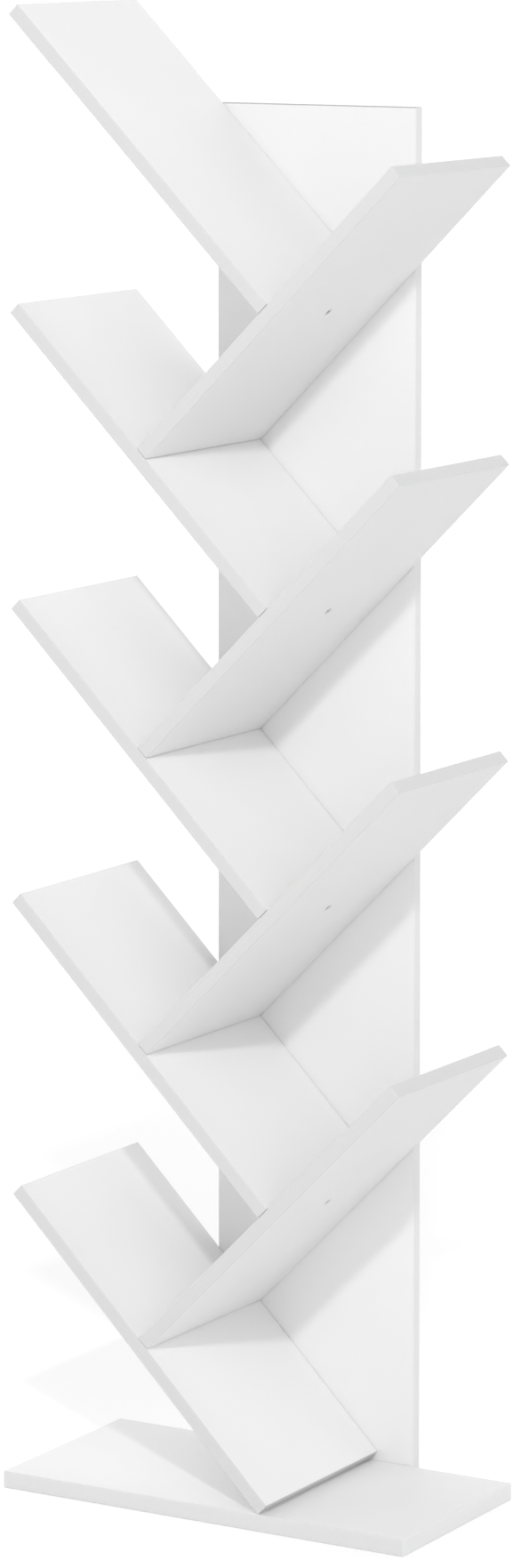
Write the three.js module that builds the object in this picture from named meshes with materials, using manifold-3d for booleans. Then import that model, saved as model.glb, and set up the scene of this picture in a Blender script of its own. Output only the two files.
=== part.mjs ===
// Tree shaped bookshelf, in millimetres, with +X to the right, +Y to the back and +Z up.
// Nine equal boards lean at 45 degrees, to the left and to the right in turn. Each stands square
// on the middle of the next, so that they climb in a zigzag in front of a tall narrow back panel.
// The origin is on the floor, under the middle of the whole.

import * as THREE from 'three';
import { RoundedBoxGeometry } from 'three/addons/geometries/RoundedBoxGeometry.js';
import { mergeVertices } from 'three/addons/utils/BufferGeometryUtils.js';
import Module from 'manifold-3d';

const wasm = await Module();
wasm.setup();

// Boards
const boardDepth = 209;
const shelfLength = 378;
const shelfThickness = 13;
const baseWidth = 432;
const baseThickness = 16;
const panelWidth = 215;
const panelThickness = 12;
const edgeRadius = 1;
const edgeSteps = 2;

// How far the panel rises above the upper tips of the shelves that lean to the right
const panelRise = 42;

// How far the panel and the shelves stand to the right of the base's middle
const columnOffset = 3;

// The shelves that lean to the left, from the top one to the one that stands on the base.
// There is one fewer that leans to the right.
const leftShelfCount = 5;
const rightShelfCount = leftShelfCount - 1;
const lean = Math.PI / 4;

// Gap where one board meets another
const seatGap = 0.3;

// Countersunk screws
const screwLength = 40;
const screwShankRadius = 2;
const screwHeadRadius = 4;
const screwHeadRim = 0.4;
const screwPointLength = 5;
const screwSinkDepth = 0.2;
const screwSides = 10;

// Cross recess in the screw's head
const crossSpan = 4.6;
const crossWidth = 1.1;
const crossDepth = 2.2;

// Wooden dowels
const dowelLength = 25;
const dowelRadius = 3;
const dowelChamfer = 0.8;
const dowelSeatDepth = 8;
const dowelSpacing = 120;
const dowelSides = 8;

// Room round a screw or dowel in its hole, and how far a cut runs past the face that it opens
const holeClearance = 0.3;
const overrun = 2;

// Where the screws through the panel enter a shelf, from its middle to its foot
const backScrewShares = [ 0.2, 0.8 ];

// Where the screws through the panel enter the base, from the column's middle to the panel's side
const baseScrewShares = [ - 0.65, 0, 0.65 ];

// How close two corners of a shape are when they are one corner
const weldDistance = 0.001;

// Depth, front to back
const totalDepth = boardDepth + seatGap + panelThickness;
const frontY = - totalDepth / 2;
const boardY = frontY + boardDepth / 2;
const panelY = frontY + boardDepth + seatGap + panelThickness / 2;

// The zigzag. A slanted length times this is its rise, and its run too.
const slope = Math.SQRT1_2;
const halfBoard = ( shelfLength + shelfThickness ) / 2;
const levelRise = 2 * slope * ( halfBoard + seatGap );

// The lowest shelf stands on its rounded lower edge, just clear of the base.
const footHeight = baseThickness + seatGap - edgeRadius * ( Math.SQRT2 - 1 );

// Upper corner of a left shelf's foot, which puts the outer tips equally far from the column's middle
const footX = slope * ( halfBoard - seatGap ) / 2;
const lowestFootZ = footHeight + slope * shelfThickness;

// The panel's height follows the top right shelf's upper tip.
const rightTipRise = slope * ( halfBoard - shelfThickness - seatGap );
const panelHeight = lowestFootZ + rightShelfCount * levelRise + rightTipRise + panelRise;

// Materials

function whiteBoard() {

	return new THREE.MeshStandardMaterial( { color: 0xf1f1ef, roughness: 0.45, metalness: 0 } );

}

function zincSteel() {

	return new THREE.MeshStandardMaterial( { color: 0xb4b6b8, roughness: 0.35, metalness: 1 } );

}

function beech() {

	return new THREE.MeshStandardMaterial( { color: 0xcfa878, roughness: 0.8, metalness: 0 } );

}

// Solids

// Turns a closed geometry into a solid that can be cut.
function toSolid( geometry ) {

	const bare = geometry.clone();
	bare.deleteAttribute( 'normal' );
	bare.deleteAttribute( 'uv' );
	const welded = mergeVertices( bare, weldDistance );
	const corners = welded.index.array;
	const triVerts = [];

	for ( let i = 0; i < corners.length; i += 3 ) {

		const triangle = [ corners[ i ], corners[ i + 1 ], corners[ i + 2 ] ];
		if ( new Set( triangle ).size === triangle.length ) triVerts.push( ...triangle );

	}

	return new wasm.Manifold( new wasm.Mesh( {
		numProp: 3,
		vertProperties: Float32Array.from( welded.attributes.position.array ),
		triVerts: Uint32Array.from( triVerts ),
	} ) );

}

function toGeometry( solid ) {

	const mesh = solid.getMesh();
	const geometry = new THREE.BufferGeometry();
	geometry.setAttribute( 'position', new THREE.BufferAttribute( mesh.vertProperties, mesh.numProp ) );
	geometry.setIndex( new THREE.BufferAttribute( mesh.triVerts, 1 ) );
	geometry.computeVertexNormals();
	return geometry;

}

// Cuts a list of geometries out of another.
function cut( geometry, tools ) {

	const remains = tools.reduce( ( solid, tool ) => solid.subtract( toSolid( tool ) ), toSolid( geometry ) );
	return toGeometry( remains );

}

// Revolves a profile of [ radius, height ] points about +Z, from the bottom up.
function turned( profile, sides ) {

	const points = profile.map( ( [ radius, height ] ) => new THREE.Vector2( radius, height ) );
	return new THREE.LatheGeometry( points, sides ).rotateX( Math.PI / 2 );

}

function board( length, depth, thickness ) {

	return new RoundedBoxGeometry( length, depth, thickness, edgeSteps, edgeRadius );

}

// A point on a board and the way that a screw or dowel runs into it from there

function place( position, direction ) {

	const ahead = new THREE.Vector3( 0, 0, 1 );
	const turn = new THREE.Quaternion().setFromUnitVectors( ahead, new THREE.Vector3( ...direction ) );
	return { position: new THREE.Vector3( ...position ), turn };

}

function putTool( geometry, { position, turn } ) {

	return geometry.applyQuaternion( turn ).translate( ...position );

}

function putPiece( name, geometry, material, { position, turn } ) {

	const piece = new THREE.Mesh( geometry, material );
	piece.name = name;
	piece.position.copy( position );
	piece.quaternion.copy( turn );
	return piece;

}

// Screws and dowels, both made along +Z from the face that they enter

function screwGeometry() {

	const headEnd = screwHeadRim + screwHeadRadius - screwShankRadius;
	const body = turned( [
		[ 0, 0 ],
		[ screwHeadRadius, 0 ],
		[ screwHeadRadius, screwHeadRim ],
		[ screwShankRadius, headEnd ],
		[ screwShankRadius, screwLength - screwPointLength ],
		[ 0, screwLength ],
	], screwSides );
	const slot = new THREE.BoxGeometry( crossSpan, crossWidth, 2 * crossDepth );
	const otherSlot = new THREE.BoxGeometry( crossWidth, crossSpan, 2 * crossDepth );
	return cut( body, [ slot, otherSlot ] ).translate( 0, 0, screwSinkDepth );

}

function screwHole() {

	const headRadius = screwHeadRadius + holeClearance;
	const shankRadius = screwShankRadius + holeClearance;
	const sinkEnd = screwSinkDepth + screwHeadRim;
	const holeEnd = screwSinkDepth + screwLength + holeClearance;
	return turned( [
		[ 0, - overrun ],
		[ headRadius, - overrun ],
		[ headRadius, sinkEnd ],
		[ shankRadius, sinkEnd + headRadius - shankRadius ],
		[ shankRadius, holeEnd ],
		[ 0, holeEnd ],
	], screwSides );

}

function dowelGeometry() {

	return turned( [
		[ 0, 0 ],
		[ dowelRadius - dowelChamfer, 0 ],
		[ dowelRadius, dowelChamfer ],
		[ dowelRadius, dowelLength - dowelChamfer ],
		[ dowelRadius - dowelChamfer, dowelLength ],
		[ 0, dowelLength ],
	], dowelSides );

}

function dowelHole() {

	const radius = dowelRadius + holeClearance;
	return turned( [
		[ 0, - holeClearance ],
		[ radius, - holeClearance ],
		[ radius, dowelLength + holeClearance ],
		[ 0, dowelLength + holeClearance ],
	], dowelSides );

}

// The joint where one shelf stands on the middle of another: a screw from below at half depth, and a
// dowel on each side of it. Places are given from the middle of the shelf below, with +Z square to it.

const underside = - shelfThickness / 2;
const dowelStart = shelfThickness / 2 - dowelSeatDepth;

function jointScrewPlace() {

	return place( [ 0, 0, underside ], [ 0, 0, 1 ] );

}

function jointDowelPlaces() {

	return {
		front: place( [ 0, - dowelSpacing / 2, dowelStart ], [ 0, 0, 1 ] ),
		rear: place( [ 0, dowelSpacing / 2, dowelStart ], [ 0, 0, 1 ] ),
	};

}

function jointHoles() {

	return [
		putTool( screwHole(), jointScrewPlace() ),
		...Object.values( jointDowelPlaces() ).map( ( at ) => putTool( dowelHole(), at ) ),
	];

}

// The same holes as they meet the foot of the shelf that stands there, whose foot points to footSide
function footHoles( footSide ) {

	const middleOfShelfBelow = shelfLength / 2 + seatGap + shelfThickness / 2;
	const tilt = - footSide * Math.PI / 2;
	return jointHoles().map( ( hole ) => hole.rotateY( tilt ).translate( footSide * middleOfShelfBelow, 0, 0 ) );

}

// Screws through the panel into a shelf's rear edge, from the middle of that shelf
function backScrewPlaces( footSide ) {

	const panelRear = boardDepth / 2 + seatGap + panelThickness;
	return backScrewShares.map( ( share ) =>
		place( [ footSide * share * shelfLength / 2, panelRear, 0 ], [ 0, - 1, 0 ] ) );

}

// Screws through the panel into the base's rear edge, in the whole bookshelf's frame
function baseScrewPlaces() {

	return baseScrewShares.map( ( share ) =>
		place( [ columnOffset + share * panelWidth / 2, totalDepth / 2, baseThickness / 2 ], [ 0, - 1, 0 ] ) );

}

// Pieces

function shelfGeometry( { footSide, stands, carries } ) {

	const holes = backScrewPlaces( footSide ).map( ( at ) => putTool( screwHole(), at ) );
	if ( carries ) holes.push( ...jointHoles() );
	if ( stands ) holes.push( ...footHoles( footSide ) );
	return cut( board( shelfLength, boardDepth, shelfThickness ), holes );

}

// A shelf with the screws and dowels that sit in it, in a group that leans
function shelf( name, kind, x, z ) {

	const group = new THREE.Group();
	group.position.set( x, 0, z );
	group.rotation.y = kind.footSide * lean;
	group.add( putPiece( name, shelfGeometry( kind ), whiteBoard(), place( [ 0, 0, 0 ], [ 0, 0, 1 ] ) ) );

	if ( kind.carries ) {

		group.add( putPiece( `${ name }_joint_screw`, screwGeometry(), zincSteel(), jointScrewPlace() ) );

		for ( const [ end, at ] of Object.entries( jointDowelPlaces() ) ) {

			group.add( putPiece( `${ name }_${ end }_dowel`, dowelGeometry(), beech(), at ) );

		}

	}

	backScrewPlaces( kind.footSide ).forEach( ( at, i ) => {

		group.add( putPiece( `${ name }_back_screw_${ i + 1 }`, screwGeometry(), zincSteel(), at ) );

	} );

	return group;

}

// Leans down to the right. The top one carries nothing, and the lowest stands on the base.
function leftShelf( number ) {

	const levelsUp = leftShelfCount - number;
	const kind = { footSide: 1, stands: number < leftShelfCount, carries: number > 1 };
	const x = footX - slope * halfBoard;
	const z = lowestFootZ + levelsUp * levelRise + slope * ( shelfLength - shelfThickness ) / 2;
	return shelf( `left_shelf_${ number }`, kind, x, z );

}

// Leans down to the left, from the middle of the left shelf below to its own upper tip.
function rightShelf( number ) {

	const levelsUp = leftShelfCount - number;
	const kind = { footSide: - 1, stands: true, carries: true };
	const x = footX + slope * seatGap;
	const z = lowestFootZ + levelsUp * levelRise - slope * ( shelfThickness + seatGap );
	return shelf( `right_shelf_${ number }`, kind, x, z );

}

function shelves() {

	const column = new THREE.Group();
	column.position.set( columnOffset, boardY, 0 );
	for ( let number = 1; number <= leftShelfCount; number ++ ) column.add( leftShelf( number ) );
	for ( let number = 1; number <= rightShelfCount; number ++ ) column.add( rightShelf( number ) );
	column.updateMatrixWorld( true );
	return column;

}

function baseBoard() {

	const at = place( [ 0, boardY, baseThickness / 2 ], [ 0, 0, 1 ] );
	const toBoard = at.position.clone().negate();
	const holes = baseScrewPlaces().map( ( hole ) => putTool( screwHole(), hole ).translate( ...toBoard ) );
	const drilled = cut( board( baseWidth, boardDepth, baseThickness ), holes );
	return putPiece( 'base_board', drilled, whiteBoard(), at );

}

function baseScrews() {

	return baseScrewPlaces().map( ( at, i ) =>
		putPiece( `base_back_screw_${ i + 1 }`, screwGeometry(), zincSteel(), at ) );

}

// The panel is drilled for every screw that goes through it, where the shelves and the base put them.
function backPanel( screws ) {

	const at = place( [ columnOffset, panelY, panelHeight / 2 ], [ 0, 0, 1 ] );
	const holes = screws.map( ( screw ) => {

		const centre = screw.getWorldPosition( new THREE.Vector3() ).sub( at.position );
		return putTool( screwHole(), place( centre.toArray(), [ 0, - 1, 0 ] ) );

	} );
	const drilled = cut( board( panelWidth, panelThickness, panelHeight ), holes );
	return putPiece( 'back_panel', drilled, whiteBoard(), at );

}

function bookshelf() {

	const whole = new THREE.Group();
	whole.add( baseBoard(), ...baseScrews(), shelves() );
	whole.updateMatrixWorld( true );
	const backScrews = [];
	whole.traverse( ( piece ) => {

		if ( piece.name.includes( '_back_screw_' ) ) backScrews.push( piece );

	} );
	whole.add( backPanel( backScrews ) );
	return whole;

}

export default bookshelf();
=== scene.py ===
"""Finish, light and camera for a tree shaped bookshelf. Metres, +X right, +Y to the back, +Z up."""

import math

import bmesh
import bpy
from mathutils import Matrix, Vector


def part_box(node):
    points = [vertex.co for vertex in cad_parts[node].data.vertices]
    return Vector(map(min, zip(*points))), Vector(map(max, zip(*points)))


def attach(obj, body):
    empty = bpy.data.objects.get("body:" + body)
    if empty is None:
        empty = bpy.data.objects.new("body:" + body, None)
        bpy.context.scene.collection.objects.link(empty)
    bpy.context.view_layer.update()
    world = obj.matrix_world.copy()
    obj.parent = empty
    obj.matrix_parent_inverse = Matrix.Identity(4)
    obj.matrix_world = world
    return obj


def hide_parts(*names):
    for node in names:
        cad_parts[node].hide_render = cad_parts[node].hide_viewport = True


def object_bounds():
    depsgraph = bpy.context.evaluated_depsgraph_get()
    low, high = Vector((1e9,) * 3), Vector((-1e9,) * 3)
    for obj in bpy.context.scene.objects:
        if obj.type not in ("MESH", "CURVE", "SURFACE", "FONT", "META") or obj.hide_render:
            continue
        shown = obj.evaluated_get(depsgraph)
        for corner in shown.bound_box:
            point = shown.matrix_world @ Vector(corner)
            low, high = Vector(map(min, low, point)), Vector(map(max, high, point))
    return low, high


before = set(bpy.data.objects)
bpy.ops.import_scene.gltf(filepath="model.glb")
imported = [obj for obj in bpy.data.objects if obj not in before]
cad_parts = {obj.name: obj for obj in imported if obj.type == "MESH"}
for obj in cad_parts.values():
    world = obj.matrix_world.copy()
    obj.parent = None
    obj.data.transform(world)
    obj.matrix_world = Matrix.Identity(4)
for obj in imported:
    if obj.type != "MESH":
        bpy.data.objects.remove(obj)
cad_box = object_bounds()

MM = 0.001
SLOPE = math.sqrt(0.5)
X, Y, Z = Vector((1, 0, 0)), Vector((0, 1, 0)), Vector((0, 0, 1))
BODY = "root"

# Directions of a board's length, depth and thickness, by the start of its name
BOARD_AXES = {
    "base": (X, Y, Z),
    "back": (Z, X, -Y),
    "left": (Vector((SLOPE, 0, -SLOPE)), Y, Vector((SLOPE, 0, SLOPE))),
    "right": (Vector((SLOPE, 0, SLOPE)), Y, Vector((-SLOPE, 0, SLOPE))),
}


# Camera: the focal length and the row that the camera points at are in pixels of the photograph.

PHOTO_HEIGHT = 1763
FOCAL_LENGTH = 6338.9
AIM_ROW = 330.0
CAMERA_PLACE = Vector((2.6469, -4.4856, 1.5365))
CAMERA_YAW = math.radians(30.579)
CAMERA_PITCH = math.radians(-4.437)
SENSOR = 36.0
VIEW_DEPTH = 100.0


def add_camera():
    data = bpy.data.cameras.new("camera")
    data.sensor_fit = "AUTO"
    data.sensor_width = SENSOR
    data.lens = FOCAL_LENGTH / PHOTO_HEIGHT * SENSOR
    data.shift_y = (AIM_ROW - PHOTO_HEIGHT / 2) / PHOTO_HEIGHT
    data.clip_end = VIEW_DEPTH
    camera = bpy.data.objects.new("camera", data)
    camera.location = CAMERA_PLACE
    camera.rotation_euler = (math.pi / 2 + CAMERA_PITCH, 0, CAMERA_YAW)
    bpy.context.scene.collection.objects.link(camera)
    bpy.context.scene.camera = camera


# Node trees

# Most of a noise's values lie between these.
NOISE_RANGE = (0.3, 0.7)


class Nodes:
    """A short way to write a node tree: an input is a number, a colour, a vector or another node's output."""

    def __init__(self, tree):
        self.tree = tree
        tree.nodes.clear()

    def add(self, kind, inputs=(), **settings):
        node = self.tree.nodes.new("ShaderNode" + kind)
        for name, value in settings.items():
            setattr(node, name, value)
        for key, value in dict(inputs).items():
            self.put(node.inputs[key], value)
        return node

    def put(self, socket, value):
        if isinstance(value, bpy.types.NodeSocket):
            self.tree.links.new(value, socket)
        else:
            socket.default_value = value

    def math(self, operation, *values):
        return self.add("Math", enumerate(values), operation=operation).outputs[0]

    def vector(self, operation, *values):
        node = self.add("VectorMath", enumerate(values), operation=operation)
        return node.outputs["Value" if operation in ("DOT_PRODUCT", "LENGTH") else "Vector"]

    def ramp(self, value, low, high, to_low=0.0, to_high=1.0):
        inputs = {"Value": value, "From Min": low, "From Max": high, "To Min": to_low, "To Max": to_high}
        return self.add("MapRange", inputs, clamp=True, interpolation_type="SMOOTHSTEP").outputs[0]

    def mix(self, factor, a, b):
        node = self.add("Mix", {0: factor, 6: a, 7: b}, data_type="RGBA", clamp_factor=True)
        return node.outputs[2]

    def noise(self, position, size, detail=2.0, roughness=0.5):
        """Noise from 0 to 1 whose bumps are about size metres wide."""
        inputs = {"Vector": position, "Scale": 1 / size, "Detail": detail, "Roughness": roughness}
        return self.add("TexNoise", inputs).outputs["Fac"]

    def bump(self, height, distance=1.0, strength=1.0):
        inputs = {"Height": height, "Distance": distance, "Strength": strength}
        return self.add("Bump", inputs).outputs[0]


def grey(value):
    return (value, value, value, 1.0)


def scaled(colour, share):
    """A share of a colour's brightness, which may be more than one."""
    return tuple(min(channel * share, 1.0) for channel in colour[:3]) + (1.0,)


def new_material(name):
    material = bpy.data.materials.new(name)
    material.use_nodes = True
    return material, Nodes(material.node_tree)


def finish_surface(nodes, **inputs):
    shader = nodes.add("BsdfPrincipled", {name.replace("_", " "): value for name, value in inputs.items()})
    nodes.add("OutputMaterial", {"Surface": shader.outputs[0]})


# White laminate boards

FACE_WHITE = (0.86, 0.86, 0.86, 1.0)
CORE_BROWN = (0.46, 0.33, 0.20, 1.0)
SEAM_GREY = (0.40, 0.39, 0.38, 1.0)
CLOUD_SHARE = 0.985
CHIP_SHARE = 1.5

# Reflectance of the edge bands. The photograph shows the panel's top end and the lowest foot darker, and the
# base's right end lighter: these ends carry painted shade and painted light. The base's and the panel's bands
# are lighter than the shelves' band as painted light.
SHELF_BAND = 0.68
BANDS_WITH_PAINTED_LIGHT = {"base_board": 0.75, "back_panel": 0.78}
ENDS_WITH_PAINTED_SHADE_AND_LIGHT = {"back_panel": 0.45, "left_shelf_5": 0.60, "base_board": 0.82}
BAND_THICKNESS = 1.0 * MM
BAND_FADE = 0.6 * MM
SEAM_WIDTH = 0.12 * MM
SEAM_SHARE = 0.05
SEAM_DEPTH = 0.02 * MM

PEARL_SIZE = 1.3 * MM
PEARL_HEIGHT = 0.012 * MM
WAVE_SIZE = 60 * MM
WAVE_HEIGHT = 0.1 * MM
CLOUD_SIZE = 180 * MM
CORE_DEPTH = 0.25 * MM
CHIP_SIZE = 2.2 * MM
CHIP_HEIGHT = 0.4 * MM
CHIP_RANGE = (0.35, 0.65)

GLOSS_RANGE = (0.25, 0.75)
FACE_ROUGHNESS = (0.40, 0.47)
PEARL_ROUGHNESS = (-0.025, 0.025)
CORE_ROUGHNESS = 0.85
LAMINATE_IOR = 1.48
LAMINATE_SPECULAR = 0.25


def board_axes(name):
    return BOARD_AXES[name.split("_")[0]]


def extent(node, axis):
    """Lowest and highest place of a CAD node along a direction."""
    places = [axis.dot(vertex.co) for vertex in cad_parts[node].data.vertices]
    return min(places), max(places)


def local_place(nodes, name):
    """Distance from the board's middle along its length, depth and thickness, and half its sizes."""
    position = nodes.add("TexCoord").outputs["Object"]
    places, halves = [], []
    for axis in board_axes(name):
        low, high = extent(name, axis)
        along = nodes.vector("DOT_PRODUCT", position, axis)
        places.append(nodes.math("SUBTRACT", along, (low + high) / 2))
        halves.append((high - low) / 2)
    return position, places, halves


def depth_below(nodes, place, half):
    """How far a point lies inside the face at half the size."""
    return nodes.math("SUBTRACT", half, nodes.math("ABSOLUTE", place))


def band_colour(nodes, name, places, in_length, in_depth):
    """One tone all round a board, lighter on the base and the panel as painted light, apart from an end that
    has its own: painted shade on the panel's top end and the lowest foot, painted light on the base's right
    end.
    """
    band = BANDS_WITH_PAINTED_LIGHT.get(name, SHELF_BAND)
    if name not in ENDS_WITH_PAINTED_SHADE_AND_LIGHT:
        return grey(band)
    past_middle = nodes.math("GREATER_THAN", places[0], 0.0)
    on_painted_end = nodes.math("MULTIPLY", nodes.math("LESS_THAN", in_length, in_depth), past_middle)
    return nodes.mix(on_painted_end, grey(band), grey(ENDS_WITH_PAINTED_SHADE_AND_LIGHT[name]))


def laminate(name):
    """Melamine laminate on both faces, a band glued round the edges, and chipboard inside the holes."""
    material, nodes = new_material(name + "_laminate")
    position, places, halves = local_place(nodes, name)
    in_length, in_depth, in_thickness = (depth_below(nodes, p, h) for p, h in zip(places, halves))
    from_edge = nodes.math("MINIMUM", in_length, in_depth)

    # The band's tone fades over the rounded rim, and its seam runs round each face just inside that.
    on_band = nodes.ramp(from_edge, BAND_THICKNESS, BAND_THICKNESS - BAND_FADE)
    off_seam = nodes.math("ABSOLUTE", nodes.math("SUBTRACT", from_edge, BAND_THICKNESS))
    seam = nodes.ramp(off_seam, SEAM_WIDTH, 0.0)

    # Chipboard shows only inside the screw and dowel holes.
    inside = nodes.math("MINIMUM", from_edge, in_thickness)
    in_core = nodes.ramp(inside, CORE_DEPTH, CORE_DEPTH * 2)

    clouds = nodes.noise(position, CLOUD_SIZE, detail=3.0)
    pearl = nodes.noise(position, PEARL_SIZE, detail=2.0, roughness=0.6)
    waves = nodes.noise(position, WAVE_SIZE, detail=1.0)
    chips = nodes.noise(position, CHIP_SIZE, detail=4.0, roughness=0.7)

    face = nodes.mix(nodes.ramp(clouds, *NOISE_RANGE), FACE_WHITE, scaled(FACE_WHITE, CLOUD_SHARE))
    # The band's tone carries painted light on the base and the panel, and painted shade and painted light on
    # some ends.
    skin = nodes.mix(on_band, face, band_colour(nodes, name, places, in_length, in_depth))
    skin = nodes.mix(nodes.math("MULTIPLY", seam, SEAM_SHARE), skin, SEAM_GREY)
    chipboard = nodes.mix(nodes.ramp(chips, *CHIP_RANGE), CORE_BROWN, scaled(CORE_BROWN, CHIP_SHARE))
    colour = nodes.mix(in_core, skin, chipboard)

    dull = nodes.ramp(clouds, *GLOSS_RANGE, *FACE_ROUGHNESS)
    dull = nodes.math("ADD", dull, nodes.ramp(pearl, *NOISE_RANGE, *PEARL_ROUGHNESS))
    dull = nodes.math("MAXIMUM", dull, nodes.math("MULTIPLY", in_core, CORE_ROUGHNESS))

    height = nodes.math("MULTIPLY", pearl, PEARL_HEIGHT)
    height = nodes.math("ADD", height, nodes.math("MULTIPLY", waves, WAVE_HEIGHT))
    height = nodes.math("SUBTRACT", height, nodes.math("MULTIPLY", seam, SEAM_DEPTH))
    crumbs = nodes.math("MULTIPLY", nodes.math("MULTIPLY", chips, in_core), CHIP_HEIGHT)
    bump = nodes.bump(nodes.math("ADD", height, crumbs))

    finish_surface(
        nodes,
        Base_Color=colour,
        Roughness=dull,
        Normal=bump,
        IOR=LAMINATE_IOR,
        Specular_IOR_Level=LAMINATE_SPECULAR,
    )
    return material


def dress(node, material):
    """Gives a CAD node one material all over."""
    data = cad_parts[node].data
    data.materials.clear()
    data.materials.append(material)


# Screws and dowels, both made along +Z from the face that they enter, in millimetres until they are placed

SCREW_LENGTH = 40.0
SCREW_HEAD_RADIUS, SCREW_HEAD_RIM, SCREW_RIM_CHAMFER = 4.0, 0.4, 0.12
SCREW_NECK_RADIUS, SCREW_NECK_END = 1.7, 11.0
SCREW_CORE_RADIUS, SCREW_THREAD_RADIUS = 1.3, 1.95
THREAD_PITCH, THREAD_ROWS = 2.6, 6
RIDGE_SHARE = 0.25
POINT_LENGTH = 6.0
POINT_POWER = 0.8
SCREW_SIDES = 24
RECESS_DEPTH = 2.2

# Reach of an arm of the cross and half its width
RECESS_TOP = (2.3, 0.55)
RECESS_FLOOR = (1.1, 0.3)

DOWEL_LENGTH, DOWEL_RADIUS, DOWEL_CHAMFER = 25.0, 3.0, 0.8
FLUTE_COUNT, FLUTE_DEPTH, SIDES_PER_FLUTE = 12, 0.25, 4

SMOOTH_ANGLE = math.radians(35)

# Each screw or dowel is turned about its axis by this much more than the one before it.
TURN_STEP = math.radians(37)


def ring(mesh, z, radius, sides):
    """One row of a turned piece. The radius is a number, or a function of the angle."""
    row = []
    for i in range(sides):
        angle = math.tau * i / sides
        r = radius(angle) if callable(radius) else radius
        row.append(mesh.verts.new((r * math.cos(angle), r * math.sin(angle), z)))
    return row


def skin_rows(mesh, rows):
    """Joins rows of the same count with a band of faces between each pair."""
    for low, high in zip(rows, rows[1:]):
        for i, vert in enumerate(low):
            after = (i + 1) % len(low)
            mesh.faces.new((vert, low[after], high[after], high[i]))


def fan(mesh, row, z):
    """Closes a row with triangles to a point on the axis."""
    tip = mesh.verts.new((0, 0, z))
    for i, vert in enumerate(row):
        mesh.faces.new((tip, vert, row[(i + 1) % len(row)]))


def finished(mesh, name):
    """Brings a mesh from millimetres to metres, smooth but for its sharp edges."""
    bmesh.ops.recalc_face_normals(mesh, faces=mesh.faces)
    bmesh.ops.scale(mesh, verts=mesh.verts, vec=(MM, MM, MM))
    data = bpy.data.meshes.new(name)
    mesh.to_mesh(data)
    mesh.free()
    data.polygons.foreach_set("use_smooth", [True] * len(data.polygons))
    data.set_sharp_from_angle(angle=SMOOTH_ANGLE)
    return data


def cross(mesh, z, reach, half_width):
    """The outline of a cross recess, as one row of twelve corners."""
    arm = ((reach, -half_width), (reach, half_width), (half_width, half_width))
    row = []
    for quarter in range(4):
        turn = Matrix.Rotation(math.pi / 2 * quarter, 2)
        row += [mesh.verts.new((*(turn @ Vector(corner)), z)) for corner in arm]
    return row


def thread_radius(z):
    """Radius of the threaded part at a height, as a function of the angle: a core with one helical ridge."""
    taper = min(1.0, (SCREW_LENGTH - z) / POINT_LENGTH) ** POINT_POWER

    def radius(angle):
        phase = (z / THREAD_PITCH - angle / math.tau) % 1.0
        ridge = max(0.0, 1.0 - abs(phase - 0.5) / RIDGE_SHARE)
        return taper * (SCREW_CORE_RADIUS + (SCREW_THREAD_RADIUS - SCREW_CORE_RADIUS) * ridge)

    return radius


def screw_mesh():
    mesh = bmesh.new()
    cone_end = SCREW_HEAD_RIM + SCREW_HEAD_RADIUS - SCREW_NECK_RADIUS
    outline = [
        (0.0, SCREW_HEAD_RADIUS - SCREW_RIM_CHAMFER),
        (SCREW_RIM_CHAMFER, SCREW_HEAD_RADIUS),
        (SCREW_HEAD_RIM, SCREW_HEAD_RADIUS),
        (cone_end, SCREW_NECK_RADIUS),
        (SCREW_NECK_END, SCREW_NECK_RADIUS),
    ]
    step = THREAD_PITCH / THREAD_ROWS
    count = math.floor((SCREW_LENGTH - SCREW_NECK_END) / step)
    for i in range(1, count):
        z = SCREW_NECK_END + i * step
        outline.append((z, thread_radius(z)))
    rows = [ring(mesh, z, radius, SCREW_SIDES) for z, radius in outline]
    skin_rows(mesh, rows)
    fan(mesh, rows[-1], SCREW_LENGTH)

    # The head's flat face has a cross recess with leaning walls.
    lip = cross(mesh, 0.0, *RECESS_TOP)
    floor_row = cross(mesh, RECESS_DEPTH, *RECESS_FLOOR)
    skin_rows(mesh, [lip, floor_row])
    fan(mesh, floor_row, RECESS_DEPTH)
    loops = [mesh.edges.get((row[i - 1], row[i])) for row in (rows[0], lip) for i in range(len(row))]
    bmesh.ops.triangle_fill(mesh, edges=loops, use_beauty=True)
    return finished(mesh, "countersunk_screw")


def dowel_mesh():
    def fluted(angle):
        return DOWEL_RADIUS - FLUTE_DEPTH * (0.5 - 0.5 * math.cos(FLUTE_COUNT * angle))

    mesh = bmesh.new()
    end_radius = DOWEL_RADIUS - DOWEL_CHAMFER
    outline = [
        (0.0, end_radius),
        (DOWEL_CHAMFER, fluted),
        (DOWEL_LENGTH - DOWEL_CHAMFER, fluted),
        (DOWEL_LENGTH, end_radius),
    ]
    rows = [ring(mesh, z, radius, FLUTE_COUNT * SIDES_PER_FLUTE) for z, radius in outline]
    skin_rows(mesh, rows)
    fan(mesh, rows[0], 0.0)
    fan(mesh, rows[-1], DOWEL_LENGTH)
    return finished(mesh, "fluted_dowel")


def way_in(name):
    """The direction in which a screw or dowel runs into the boards."""
    return -Y if "back_screw" in name else board_axes(name)[2]


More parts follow.
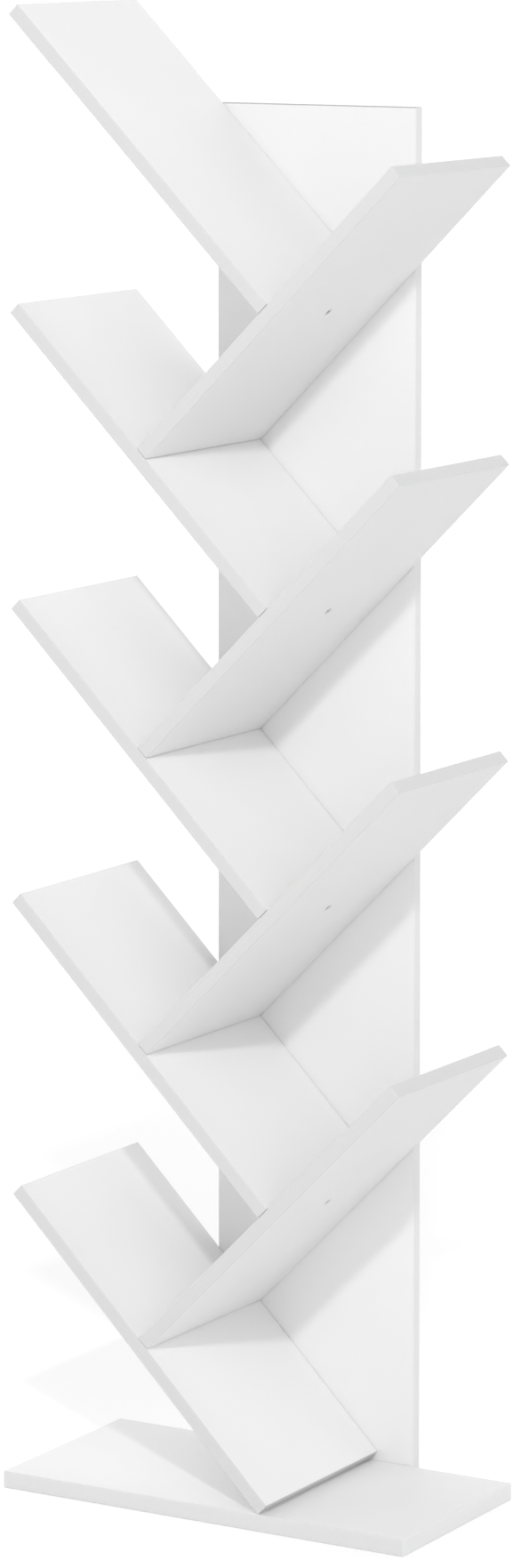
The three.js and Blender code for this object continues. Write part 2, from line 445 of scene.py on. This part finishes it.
def fit_piece(name, data, length, turn):
    """Puts the detailed screw or dowel where the plain CAD one is."""
    direction = way_in(name)
    piece = bpy.data.objects.new(name + "_detailed", data)
    low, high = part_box(name)
    middle = (Vector(low) + Vector(high)) / 2
    tip_end = extent(name, direction)[1]
    start = middle + direction * (tip_end - length * MM - direction.dot(middle))
    aim = direction.to_track_quat("Z", "Y").to_matrix().to_4x4()
    piece.matrix_world = Matrix.Translation(start) @ aim @ Matrix.Rotation(turn, 4, "Z")
    bpy.context.scene.collection.objects.link(piece)
    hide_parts(name)
    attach(piece, BODY)


# Zinc of the screws

ZINC_TONES = ((0.70, 0.71, 0.72, 1.0), (0.61, 0.61, 0.60, 1.0))
ZINC_GRAIN_SIZE, ZINC_CLOUD_SIZE = 0.35 * MM, 3.0 * MM
ZINC_ROUGHNESS = (0.32, 0.48)
ZINC_BUMP, ZINC_BUMP_STRENGTH = 0.01 * MM, 0.6

# The recess is painted dark as painted shade within the second radius and below the second depth, and fades
# from the first ones.
RECESS_PAINTED_SHADE = grey(0.05)
RECESS_RADII = (2.6 * MM, 2.2 * MM)
RECESS_DEPTHS = (0.02 * MM, 0.7 * MM)
RECESS_SHADE_SHARE = 0.9
RECESS_ROUGHNESS = 0.3


def zinc():
    """Bright zinc plate, duller down in the cross recess, where painted shade darkens it."""
    material, nodes = new_material("zinc_plate")
    position = nodes.add("TexCoord").outputs["Object"]
    grain = nodes.noise(position, ZINC_GRAIN_SIZE, detail=3.0, roughness=0.6)
    clouds = nodes.noise(position, ZINC_CLOUD_SIZE, detail=2.0)

    depth = nodes.add("SeparateXYZ", {"Vector": position}).outputs["Z"]
    from_axis = nodes.vector("LENGTH", nodes.vector("MULTIPLY", position, (1.0, 1.0, 0.0)))
    near_axis = nodes.ramp(from_axis, *RECESS_RADII)
    sunk = nodes.ramp(depth, *RECESS_DEPTHS)
    in_shaded_recess = nodes.math("MULTIPLY", nodes.math("MULTIPLY", near_axis, sunk), RECESS_SHADE_SHARE)

    colour = nodes.mix(nodes.ramp(clouds, *NOISE_RANGE), *ZINC_TONES)
    # Painted shade darkens the cross recess.
    colour = nodes.mix(in_shaded_recess, colour, RECESS_PAINTED_SHADE)
    rough = nodes.ramp(grain, *NOISE_RANGE, *ZINC_ROUGHNESS)
    rough = nodes.math("ADD", rough, nodes.math("MULTIPLY", in_shaded_recess, RECESS_ROUGHNESS))
    bump = nodes.bump(grain, ZINC_BUMP, ZINC_BUMP_STRENGTH)
    finish_surface(nodes, Base_Color=colour, Roughness=rough, Normal=bump, Metallic=1.0)
    return material


# Beech of the dowels

BEECH_TONES = ((0.60, 0.40, 0.22, 1.0), (0.74, 0.55, 0.34, 1.0))
FLECK_BROWN = (0.33, 0.19, 0.10, 1.0)
FLECK_RANGE = (0.62, 0.75)
FLECK_SHARE = 0.5
BEECH_GRAIN_SIZE, FLECK_SIZE = 0.5 * MM, 0.16 * MM
BEECH_STRETCH = (1.0, 1.0, 0.06)
BEECH_ROUGHNESS = (0.66, 0.78)
BEECH_BUMP, BEECH_BUMP_STRENGTH = 0.05 * MM, 0.8


def beech():
    """Beech with its grain and short dark flecks along the dowel."""
    material, nodes = new_material("beech")
    position = nodes.add("TexCoord").outputs["Object"]
    along = nodes.add("Mapping", {"Vector": position, "Scale": BEECH_STRETCH}).outputs[0]
    grain = nodes.noise(along, BEECH_GRAIN_SIZE, detail=4.0, roughness=0.65)
    flecks = nodes.noise(along, FLECK_SIZE, detail=1.0)
    colour = nodes.mix(nodes.ramp(grain, *NOISE_RANGE), *BEECH_TONES)
    colour = nodes.mix(nodes.ramp(flecks, *FLECK_RANGE, 0.0, FLECK_SHARE), colour, FLECK_BROWN)
    rough = nodes.ramp(grain, *NOISE_RANGE, *BEECH_ROUGHNESS)
    bump = nodes.bump(grain, BEECH_BUMP, BEECH_BUMP_STRENGTH)
    finish_surface(nodes, Base_Color=colour, Roughness=rough, Normal=bump)
    return material


# Floor

FLOOR_SIZE = 60.0
FLOOR_WHITE = 0.86
FLOOR_GLOW = (0.22, 0.36)
GLOW_SPREAD = (0.7, 5.0)


def floor():
    """A pale floor. To the camera alone it glows a little, more so further out, so that it ends in white."""
    bpy.ops.mesh.primitive_plane_add(size=FLOOR_SIZE, location=(0, 0, cad_box[0].z))
    plane = bpy.context.object
    plane.name = "floor"
    material, nodes = new_material("pale_floor")
    position = nodes.add("TexCoord").outputs["Object"]
    glow = nodes.ramp(nodes.vector("LENGTH", position), *GLOW_SPREAD, *FLOOR_GLOW)
    to_camera = nodes.add("LightPath").outputs["Is Camera Ray"]
    diffuse = nodes.add("BsdfDiffuse", {"Color": grey(FLOOR_WHITE)})
    lift = nodes.add("Emission", {"Color": grey(1.0), "Strength": nodes.math("MULTIPLY", glow, to_camera)})
    both = nodes.add("AddShader", {0: diffuse.outputs[0], 1: lift.outputs[0]})
    nodes.add("OutputMaterial", {"Surface": both.outputs[0]})
    plane.data.materials.append(material)


# Light

# Light from each side of the room: its direction, how closely it keeps to that side, and its brightness
ROOM_LIGHTS = (
    (-X, 1, 1.35),
    (Y, 1, 0.93),
    (-X + Z, 3, 0.36),
    (X + Y, 3, 1.10),
    (-Y, 30, 1.60),
    (X - Y + Z, 10, 1.44),
    (X - Y + 0.4 * Z, 10, 1.08),
)
KEY_PLACE = Vector((1.96, -3.49, 3.27))
KEY_TARGET = Vector((0.0, 0.0, 0.7))
KEY_SIZE = 0.2
KEY_WATTS = 60.0


def room_light():
    """Soft light from the sides of a white room. The camera and reflections see plain white."""
    world = bpy.data.worlds.new("studio")
    bpy.context.scene.world = world
    world.use_nodes = True
    nodes = Nodes(world.node_tree)
    direction = nodes.add("TexCoord").outputs["Generated"]
    level = 0.0
    for side, closeness, brightness in ROOM_LIGHTS:
        facing = nodes.math("MAXIMUM", nodes.vector("DOT_PRODUCT", direction, side.normalized()), 0.0)
        narrowed = nodes.math("POWER", facing, float(closeness))
        level = nodes.math("ADD", level, nodes.math("MULTIPLY", narrowed, brightness))
    path = nodes.add("LightPath")
    seen = nodes.math("MAXIMUM", path.outputs["Is Camera Ray"], path.outputs["Is Glossy Ray"])
    seen = nodes.math("MAXIMUM", seen, path.outputs["Is Transmission Ray"])
    lit = nodes.math("MULTIPLY", level, nodes.math("SUBTRACT", 1.0, seen))
    background = nodes.add("Background", {"Color": grey(1.0), "Strength": nodes.math("ADD", lit, seen)})
    nodes.add("OutputWorld", {"Surface": background.outputs[0]})


def key_light():
    """A small softbox above the camera, which casts the shadows."""
    data = bpy.data.lights.new("key", "AREA")
    data.shape = "DISK"
    data.size = KEY_SIZE
    data.energy = KEY_WATTS
    lamp = bpy.data.objects.new("key", data)
    lamp.location = KEY_PLACE
    lamp.rotation_mode = "QUATERNION"
    lamp.rotation_quaternion = (KEY_TARGET - KEY_PLACE).to_track_quat("-Z", "Y")
    bpy.context.scene.collection.objects.link(lamp)


# The whole scene


def finish_pieces():
    """Gives each board its laminate, and puts the detailed screws and dowels in place."""
    screw_data, dowel_data = screw_mesh(), dowel_mesh()
    screw_data.materials.append(zinc())
    dowel_data.materials.append(beech())
    for order, node in enumerate(sorted(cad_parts)):
        turn = order * TURN_STEP
        if "screw" in node:
            fit_piece(node, screw_data, SCREW_LENGTH, turn)
        elif "dowel" in node:
            fit_piece(node, dowel_data, DOWEL_LENGTH, turn)
        else:
            dress(node, laminate(node))


bpy.context.scene.view_settings.view_transform = "Standard"
add_camera()
finish_pieces()
floor()
room_light()
key_light()
